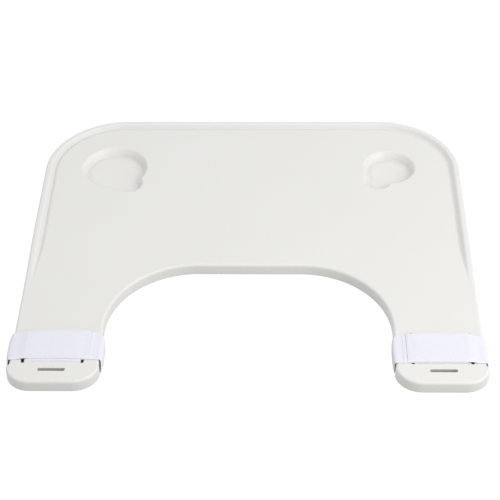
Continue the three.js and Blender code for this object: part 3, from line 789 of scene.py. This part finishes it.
def band(name, side, line, width, thickness, material, lift=0.0, bead=0.0, press=False):
    """A band with a closed section along a line (u, shift, z), lifted off it along its normal.

    Towards both its edges the band is drawn in to the arm's side, by shares that grow with the
    square of the way across, and it settles as the strap does. Its cut ends are rounded off, and
    the last one may be pressed flat. UV runs in metres: along the band, and across it.
    """
    v, h = band_section(width, thickness, bead)
    u, shift, z = [line[:, i:i + 1] for i in range(3)]
    run = np.concatenate([[0], np.cumsum(np.linalg.norm(np.diff(line, axis=0), axis=1))])
    from_end = np.clip(np.minimum(run, run[-1] - run) / THIN_END, 0, 1)
    thin = THIN_SHARE + (1 - THIN_SHARE) * np.sqrt(from_end)
    pull = SHOULDER_PULL * np.clip((v - SHOULDER_FROM) / (WEBBING_WIDTH / 2 - SHOULDER_FROM), 0, 1) ** 2
    pull = pull + FRONT_PULL * np.clip((-v - FRONT_FROM) / (WEBBING_WIDTH / 2 - FRONT_FROM), 0, 1) ** 2
    middle_u = u - np.sign(u) * np.clip(np.abs(u) - arm_half, 0, None) * pull
    forward, down = settled(side, u, v, z)
    middle_z = z - down
    along_u, along_z = np.gradient(middle_u, axis=0), np.gradient(middle_z, axis=0)
    size = np.hypot(along_u, along_z)
    left = pressed(run[-1] - run)[:, None] if press else 1.0
    off = h * thin[:, None] * left + lift - (1 - left) * thickness / 2
    rings = np.stack([side * (arm_x + middle_u + off * along_z / size),
                      slot_y + shift + v - forward,
                      middle_z - off * along_u / size], -1)
    points, faces = loft(rings)
    made = faced_out(piece_from(name, points, faces, material))
    flat = np.stack(np.broadcast_arrays(run[:, None], v), -1).reshape(-1, 2) * 0.001
    corner = np.empty(len(made.data.loops), int)
    made.data.loops.foreach_get("vertex_index", corner)
    made.data.uv_layers.new(name="along_and_across").data.foreach_set("uv", flat[corner].ravel())
    return made


def faced_out(made):
    """Turns the faces of closed shells outwards."""
    shell = bmesh.new()
    shell.from_mesh(made.data)
    bmesh.ops.recalc_face_normals(shell, faces=shell.faces)
    shell.to_mesh(made.data)
    shell.free()
    return made


def woven_webbing():
    """Woven polyester, heavy and matt with a soft bluish-white cast. The 1.2 mm weft ribs are drawn
    2 mm apart so that they show, crossed by warp ends 2.4 mm apart, with fibres of 0.4 mm on them
    and loose lint-like variation over 10 mm."""
    material, tree = new_material("woven_polyester_webbing")
    place = add_node(tree, "ShaderNodeTexCoord").outputs["UV"]
    apart = add_node(tree, "ShaderNodeSeparateXYZ", [("Vector", place)])
    waves = []
    for axis, pitch in (("X", 0.002), ("Y", 0.0024)):
        turn = add_node(tree, "ShaderNodeMath", [(0, apart.outputs[axis])], operation="MULTIPLY",
                        in_1=math.pi / pitch)
        waves.append(add_node(tree, "ShaderNodeMath", [(0, turn.outputs[0])], operation="SINE"))
    crossed = add_node(tree, "ShaderNodeMath", [(0, waves[0].outputs[0]), (1, waves[1].outputs[0])],
                       operation="MULTIPLY")
    humps = add_node(tree, "ShaderNodeMath", [(0, crossed.outputs[0])], operation="ABSOLUTE")
    fibre = add_node(tree, "ShaderNodeTexNoise", [("Vector", place)], Scale=2600.0, Detail=2.0)
    fuzz = add_node(tree, "ShaderNodeMath", [(0, fibre.outputs[0]), (2, humps.outputs[0])],
                    operation="MULTIPLY_ADD", in_1=0.35)
    bump = add_node(tree, "ShaderNodeBump", [("Height", fuzz.outputs[0])], Strength=0.35,
                    Distance=0.0003)
    lint = add_node(tree, "ShaderNodeTexNoise", [("Vector", place)], Scale=100.0, Detail=3.0)
    share = add_node(tree, "ShaderNodeMath", [(0, lint.outputs[0]), (2, humps.outputs[0])],
                     operation="MULTIPLY_ADD", in_1=0.6, use_clamp=True)
    tint = add_node(tree, "ShaderNodeMix", [("Factor", share.outputs[0])], data_type="RGBA",
                    in_6=linear("#E9E9F2"), in_7=linear("#F1F1F9"))
    cloth = add_node(tree, "ShaderNodeBsdfPrincipled",
                     [("Base Color", tint.outputs[2]), ("Normal", bump.outputs[0])],
                     Roughness=0.82, IOR=1.5, Sheen_Weight=0.15)
    add_node(tree, "ShaderNodeOutputMaterial", [("Surface", cloth.outputs[0])])
    return material


webbing_cloth = woven_webbing()
strap_lines = {}
for name, side in (("left", -1), ("right", 1)):
    tail = tail_line(INNER_BULGES[name], TAIL_SHIFTS[name], SLOT_SHIFTS[name])
    flap = flap_line(OUTER_BULGES[name], FLAP_SHIFTS[name], SLOT_SHIFTS[name])
    strap_lines[name] = (side, tail, flap)
    body = band(f"{name}_strap_body", side, tail, WEBBING_WIDTH, WEBBING, webbing_cloth,
                bead=SELVEDGE_BEAD)
    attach(body, "tray")
    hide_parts(f"{name}_strap_loop")
    cover = band(f"{name}_strap_cover", side, flap, WEBBING_WIDTH, WEBBING, webbing_cloth,
                 bead=SELVEDGE_BEAD, press=True)
    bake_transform(cover)
    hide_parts(f"{name}_strap_flap")

# ---------------------------------------------------------------------------
# Loop and hook tapes: knitted nylon tapes 48 mm wide. The loop tape, with a raised nap of fine
# loops, is sewn on top of the tail. The hook tape, with rows of moulded nylon hooks, is sewn under
# the flap.
# ---------------------------------------------------------------------------

TAPE_WIDTH = WEBBING_WIDTH - 2 * PATCH_INSET
TAPE_GAP = 0.02
LOOP_END_INSET = 9.5

# Nap: loops of fine thread, scattered and leaning at random
NAP_LOOPS = 1500
NAP_REACH = 0.36
NAP_HEIGHT = 0.26
NAP_THREAD_RADIUS = 0.06
NAP_MARGIN = 1.0
NAP_LEAN = 0.25
NAP_SEED = 11

# Hooks: bent stems in rows that face one way and the other in turn, with every second column set
# half a pitch on. The stem's path is (ahead, up).
HOOK_PITCH_ALONG = 1.7
HOOK_PITCH_ACROSS = 1.4
HOOK_MARGIN = 2.6
HOOK_PATH = [(0, 0), (0, 0.22), (0.05, 0.36), (0.18, 0.42), (0.3, 0.33)]
HOOK_RADII = [0.09, 0.08, 0.08, 0.075, 0.06]

# Heights above which a strap's line is only its tail, or only its flap
above_bridge = bridge_z + 0.3
above_tail = flap_z - 1.5
loop_ends = (tail_end_u - PATCH_INSET, LOOP_END_INSET - arm_half)
hook_ends = (tail_end_u, flap_end_u + PATCH_INSET)


def top_stretch(line, low, from_u, to_u, stride=1.0):
    """The stretch of a strap's line that lies above a height, from one place u to another, read
    off the line by straight interpolation."""
    top = line[line[:, 2] > low]
    top = top[np.argsort(top[:, 0])]
    u = np.linspace(from_u, to_u, int(abs(to_u - from_u) / stride) + 1)
    return np.stack([u, np.interp(u, top[:, 0], top[:, 1]), np.interp(u, top[:, 0], top[:, 2])], 1)


def fine_tube(path, radii, sides):
    """A closed tube along a path (x, z) in its own plane: a ring of a few sides at each point."""
    path = np.array(path, float)
    ahead = np.gradient(path, axis=0)
    ahead /= np.linalg.norm(ahead, axis=1, keepdims=True)
    turns = np.arange(sides) * 2 * np.pi / sides
    out = np.array(radii)[:, None] * np.cos(turns)
    rings = np.stack([path[:, :1] - out * ahead[:, 1:], np.array(radii)[:, None] * np.sin(turns),
                      path[:, 1:] + out * ahead[:, :1]], -1)
    return loft(rings)


def repeated(shape, places, ahead, up):
    """One mesh of many copies of a shape: its x runs ahead and its z up, given for each place."""
    points, faces = shape
    ahead = ahead / np.linalg.norm(ahead, axis=1, keepdims=True)
    aside = np.cross(up, ahead)
    aside /= np.linalg.norm(aside, axis=1, keepdims=True)
    frames = np.stack([ahead, aside, np.cross(ahead, aside)], 1)
    placed = places[:, None, :] + np.einsum("pi,nij->npj", points, frames)
    copied = [[c + n * len(points) for c in face] for n in range(len(places)) for face in faces]
    return placed.reshape(-1, 3), copied


def on_strap(side, line, low, u, v, lift):
    """Places on a strap's top stretch at u along the arm's width and v across the strap, lifted off
    the strap's middle, with the directions along the strap and off it."""
    lie = top_stretch(line, low, u.min() - 1, u.max() + 1, 0.5)
    shift, z = np.interp(u, lie[:, 0], lie[:, 1]), np.interp(u, lie[:, 0], lie[:, 2])
    slope = np.interp(u + 0.5, lie[:, 0], lie[:, 2]) - np.interp(u - 0.5, lie[:, 0], lie[:, 2])
    forward, down = settled(side, u, v, z)
    places = np.stack([side * (arm_x + u), slot_y + shift + v - forward, z + lift - down], 1)
    ahead = np.stack([side + 0 * u, 0 * u, slope], 1)
    off = np.stack([-side * slope, 0 * u, 1 + 0 * u], 1)
    return places, ahead, off / np.linalg.norm(off, axis=1, keepdims=True)


def tape_cloth(name, hex_low, hex_high, grains, patches, strength, roughness, sheen):
    """A tape's cloth, with so many grains and patches to the millimetre: mottled between two
    colours by the grains, with a bump of the grains times the patches."""
    material, tree = new_material(name)
    place = add_node(tree, "ShaderNodeTexCoord").outputs["UV"]
    fine = add_node(tree, "ShaderNodeTexNoise", [("Vector", place)], Scale=1000 * grains, Detail=4.0,
                    Roughness=0.7)
    broad = add_node(tree, "ShaderNodeTexNoise", [("Vector", place)], Scale=1000 * patches, Detail=2.0)
    both = add_node(tree, "ShaderNodeMath", [(0, fine.outputs[0]), (1, broad.outputs[0])],
                    operation="MULTIPLY")
    tint = add_node(tree, "ShaderNodeMix", [("Factor", fine.outputs[0])], data_type="RGBA",
                    in_6=linear(hex_low), in_7=linear(hex_high))
    bump = add_node(tree, "ShaderNodeBump", [("Height", both.outputs[0])], Strength=strength,
                    Distance=0.0006)
    cloth = add_node(tree, "ShaderNodeBsdfPrincipled",
                     [("Base Color", tint.outputs[2]), ("Normal", bump.outputs[0])],
                     Roughness=roughness, IOR=1.53, Sheen_Weight=sheen)
    add_node(tree, "ShaderNodeOutputMaterial", [("Surface", cloth.outputs[0])])
    return material


# Knitted and brushed nylon is matt and fuzzy, with a whitish sheen, and clumps over 3 mm. Moulded
# nylon hooks on their woven ground look greyer, and glossier than the webbing.
napped_loop = tape_cloth("napped_nylon_loop", "#EDEDF5", "#F7F7FC", grains=1.5, patches=0.35,
                         strength=0.45, roughness=0.95, sheen=0.3)
moulded_hook = tape_cloth("moulded_nylon_hook", "#DEDEE7", "#EAEAF2", grains=0.9, patches=0.5,
                          strength=0.35, roughness=0.5, sheen=0.1)
draw = np.random.default_rng(NAP_SEED)
turns = np.linspace(0, np.pi, 6)
nap_loop = fine_tube(np.stack([-NAP_REACH * np.cos(turns), NAP_HEIGHT * np.sin(turns)], 1),
                     [NAP_THREAD_RADIUS] * len(turns), 3)
hook = fine_tube(HOOK_PATH, HOOK_RADII, 4)
for name, (side, tail, flap) in strap_lines.items():
    lie = top_stretch(tail, above_bridge, *loop_ends)
    tape = band(f"{name}_loop_tape", side, lie, TAPE_WIDTH, PATCH_TAPE, napped_loop,
                lift=(WEBBING + PATCH_TAPE) / 2 + TAPE_GAP, press=True)
    u = draw.uniform(loop_ends[1] + NAP_MARGIN, loop_ends[0] - NAP_MARGIN, NAP_LOOPS)
    v = draw.uniform(-1, 1, NAP_LOOPS) * (TAPE_WIDTH / 2 - NAP_MARGIN)
    places, ahead, off = on_strap(side, tail, above_bridge, u, v,
                                  WEBBING / 2 + PATCH_TAPE * pressed(u - loop_ends[1]) + TAPE_GAP)
    yaw = draw.uniform(0, 2 * np.pi, NAP_LOOPS)[:, None]
    ahead = ahead * np.cos(yaw) + np.cross(off, ahead) * np.sin(yaw)
    lean = off + draw.normal(0, NAP_LEAN, (NAP_LOOPS, 3))
    loops = repeated(nap_loop, places, ahead, lean)
    nap = faced_out(piece_from(f"{name}_loop_nap", *loops, napped_loop))
    for part in (tape, nap):
        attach(part, "tray")
    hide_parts(f"{name}_loop_patch")

    lie = top_stretch(flap, above_tail, *hook_ends)
    lie[:, 2] = np.maximum(lie[:, 2], flap_z - 0.2)
    tape = band(f"{name}_hook_tape", side, lie, TAPE_WIDTH, PATCH_TAPE, moulded_hook,
                lift=-(WEBBING + PATCH_TAPE) / 2 - TAPE_GAP, press=True)
    columns = np.arange(hook_ends[1] + HOOK_MARGIN, hook_ends[0] - HOOK_MARGIN, HOOK_PITCH_ALONG)
    rows = np.arange(HOOK_MARGIN - TAPE_WIDTH / 2, TAPE_WIDTH / 2 - HOOK_MARGIN, HOOK_PITCH_ACROSS)
    u, v = np.meshgrid(columns, rows, indexing="ij")
    v = v + (np.arange(len(columns)) % 2)[:, None] * HOOK_PITCH_ACROSS / 2
    places, ahead, off = on_strap(side, flap, above_tail, u.ravel(), v.ravel(),
                                  -WEBBING / 2 - PATCH_TAPE - TAPE_GAP)
    facing = np.tile(np.where(np.arange(len(rows)) % 2 > 0, 1, -1), len(columns))[:, None]
    stems = repeated(hook, places, ahead * facing, -off)
    hooks = faced_out(piece_from(f"{name}_hooks", *stems, moulded_hook))
    for part in (tape, hooks):
        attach(part, f"{name}_flap")
    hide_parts(f"{name}_hook_patch")

# ---------------------------------------------------------------------------
# Stitching: a lockstitch of bonded polyester thread round the edge of each tape, through tape and
# webbing. It shows on the flap's top, on the hook tape under it and on the loop tape.
# ---------------------------------------------------------------------------

STITCH_PITCH = 3.0
STITCH_LENGTH = 2.5
STITCH_INSET = 1.8
STITCH_DIP = 0.18
THREAD = 0.5
THREAD_SUNK = 0.06
THREAD_PROUD = 0.08


def stitch_box(from_u, to_u):
    """Stitch places (u, v) and whether each runs across the strap, round a box inside the tape."""
    low, high, reach = min(from_u, to_u), max(from_u, to_u), TAPE_WIDTH / 2 - STITCH_INSET
    low, high = low + STITCH_INSET, high - STITCH_INSET
    along = np.linspace(low, high, round((high - low) / STITCH_PITCH) + 1)
    across = np.linspace(-reach, reach, round(2 * reach / STITCH_PITCH) + 1)
    along, across = (along[1:] + along[:-1]) / 2, (across[1:] + across[:-1]) / 2
    u = np.concatenate([along, along, low + 0 * across, high + 0 * across])
    v = np.concatenate([reach + 0 * along, -reach + 0 * along, across, across])
    return u, v, np.arange(len(u)) >= 2 * len(along)


def bonded_thread():
    """Twisted polyester thread: glossier than the webbing, with the twist as a bump of 1.7 mm
    waves, drawn coarse so that it shows."""
    material, tree = new_material("bonded_polyester_thread")
    place = add_node(tree, "ShaderNodeTexCoord").outputs["Object"]
    twist = add_node(tree, "ShaderNodeTexWave", [("Vector", place)], Scale=600.0, Distortion=1.0)
    bump = add_node(tree, "ShaderNodeBump", [("Height", twist.outputs[0])], Strength=0.4,
                    Distance=0.0001)
    tint = add_node(tree, "ShaderNodeMix", [("Factor", twist.outputs[0])], data_type="RGBA",
                    in_6=linear("#E6E6EF"), in_7=linear("#F2F2F9"))
    thread = add_node(tree, "ShaderNodeBsdfPrincipled",
                      [("Base Color", tint.outputs[2]), ("Normal", bump.outputs[0])],
                      Roughness=0.55, IOR=1.5)
    add_node(tree, "ShaderNodeOutputMaterial", [("Surface", thread.outputs[0])])
    return material


thread_look = bonded_thread()
# One stitch dips at its ends with the fourth power of the way there, and rounds off to them.
reach = np.linspace(-1, 1, 7)
arched = np.stack([reach * STITCH_LENGTH / 2, -STITCH_DIP * reach ** 4], 1)
stitch = fine_tube(arched, THREAD / 2 * np.sqrt(1.06 - reach ** 2), 6)
for name, (side, tail, flap) in strap_lines.items():
    # Each row of stitches lies at a height off the strap's middle, plus what is left of the
    # layers that its end presses flat, and looks up or down.
    rows = (("loop_stitches", "tray", "loop_tape", tail, above_bridge, loop_ends,
             WEBBING / 2 - THREAD_SUNK, PATCH_TAPE, 1),
            ("flap_stitches", f"{name}_flap", "strap_webbing", flap, above_tail, hook_ends,
             THREAD_PROUD - WEBBING / 2, WEBBING, 1),
            ("hook_stitches", f"{name}_flap", "hook_tape", flap, above_tail, hook_ends,
             THREAD_SUNK - WEBBING / 2 - PATCH_TAPE, 0.0, -1))
    for label, body, slot, line, low, ends, height, layers, facing in rows:
        u, v, turned = stitch_box(*ends)
        places, ahead, off = on_strap(side, line, low, u, v, height + layers * pressed(u - ends[1]))
        ahead = np.where(turned[:, None], np.cross(off, ahead), ahead)
        stitches = repeated(stitch, places, ahead, off * facing)
        sewn = faced_out(piece_from(f"{name}_{label}", *stitches, thread_look))
        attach(sewn, body)
